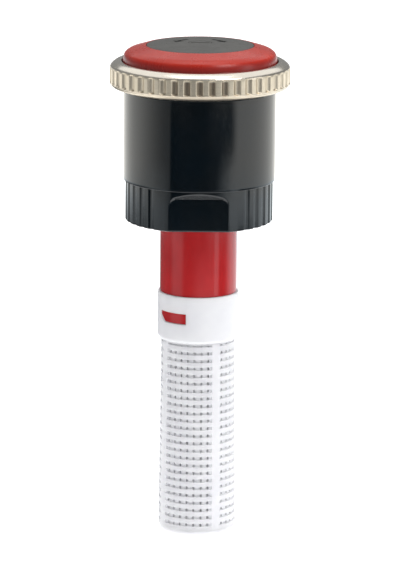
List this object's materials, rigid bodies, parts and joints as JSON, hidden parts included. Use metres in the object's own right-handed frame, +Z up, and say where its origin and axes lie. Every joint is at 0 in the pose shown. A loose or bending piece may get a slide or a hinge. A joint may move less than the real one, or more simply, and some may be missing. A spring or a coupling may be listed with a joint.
{
  "type": "pop up sprinkler nozzle head",
  "caption": "Rotary-stream nozzle head for a pop-up lawn sprinkler, with a lifting and spinning turret, an arc-setting ring, a radius throttle and a pull-off filter.",
  "frame": {"origin": "centre of the housing's bottom rim, which is the mouth of the riser socket", "axes": "+Z up along the head's axis, from the filter towards the turret; -Y towards one of the two wrench flats"},
  "size_m": [0.0264, 0.0262, 0.0732],
  "materials": {
    "black_plastic": "moulded, semi-gloss",
    "grey_plastic": "moulded, satin",
    "red_plastic": "moulded, satin",
    "white_plastic": "moulded, satin",
    "bearing_plastic": "turned, satin",
    "ring_metal": "satin nickel",
    "steel": "ground",
    "rubber": "moulded"
  },
  "bodies": {
    "base": {"housing": "black_plastic", "inlet_stem": "red_plastic", "riser_gasket": "rubber", "stream_deflector": "grey_plastic", "return_spring": "steel"},
    "lift": {"spring_seat": "bearing_plastic"},
    "shaft": {"shaft": "steel", "shaft_clip": "steel", "brake_stator": "bearing_plastic", "adjuster_head": "grey_plastic"},
    "throttle": {"throttle_nut": "grey_plastic"},
    "turret": {"distributor": "black_plastic", "seal_retainer": "steel", "lip_seal": "rubber", "lower_bush": "bearing_plastic", "thrust_washers": "bearing_plastic", "brake_cover": "grey_plastic", "upper_bush": "bearing_plastic", "turret_dome": "red_plastic", "top_disc": "grey_plastic"},
    "arc_ring": {"arc_ring": "ring_metal", "arc_nozzle": "black_plastic", "nozzle_seal": "rubber", "friction_washer": "bearing_plastic"},
    "filter": {"filter_basket": "white_plastic"}
  },
  "joints": [
    {"name": "popup", "type": "slide", "parent": "base", "child": "lift", "axis": [0, 0, 1], "range_m": [0, 0.0065], "stiffness_N_per_m": 300, "springref_m": -0.01, "deforming": ["return_spring"]},
    {"name": "shaft_turn", "type": "hinge", "parent": "lift", "child": "shaft", "pos_m": [0, 0, 0], "axis": [0, 0, 1], "range_deg": [0, 900]},
    {"name": "throttle_travel", "type": "slide", "parent": "lift", "child": "throttle", "axis": [0, 0, 1], "range_m": [0, 0.0016]},
    {"name": "turret_spin", "type": "hinge", "parent": "shaft", "child": "turret", "pos_m": [0, 0, 0.0178], "axis": [0, 0, 1], "continuous": true},
    {"name": "arc_set", "type": "hinge", "parent": "base", "child": "arc_ring", "pos_m": [0, 0, 0.0195], "axis": [0, 0, 1], "range_deg": [0, 120]},
    {"name": "filter_pull", "type": "slide", "parent": "base", "child": "filter", "axis": [0, 0, -1], "range_m": [0, 0.012]}
  ],
  "couplings": [
    {"joint": "shaft_turn", "follows": "throttle_travel", "rad_per_m": 9817.4}
  ]
}
